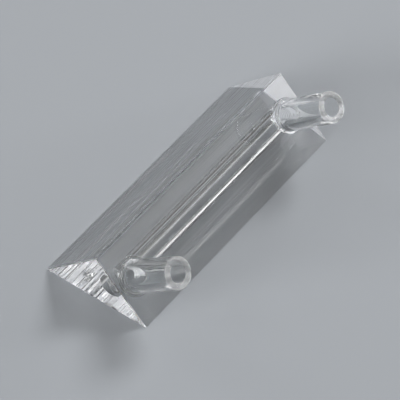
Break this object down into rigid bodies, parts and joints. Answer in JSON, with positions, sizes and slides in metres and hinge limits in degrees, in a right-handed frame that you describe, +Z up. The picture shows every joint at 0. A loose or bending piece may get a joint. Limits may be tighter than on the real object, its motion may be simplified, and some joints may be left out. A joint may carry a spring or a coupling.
{
  "type": "cuvette",
  "caption": "Clear fused-quartz flow cuvette: a right-angle prism lying on its widest face, with a blind channel along it and a leaning tube fused on near each end.",
  "frame": {"origin": "middle of the base, which is the prism's widest face", "axes": "+Z up from the base, +Y along the prism from the inlet to the outlet, +X towards the side that carries the tubes"},
  "size_m": [0.0221, 0.045, 0.0137],
  "materials": {
    "polished_quartz": "optically polished long faces, ground outlet end and edges",
    "drawn_quartz_tube": "drawn tube, fire-polished at the mouth and the weld"
  },
  "bodies": {
    "root": {"prism_body": "polished_quartz", "inlet_port": "drawn_quartz_tube", "outlet_port": "drawn_quartz_tube"}
  },
  "joints": []
}
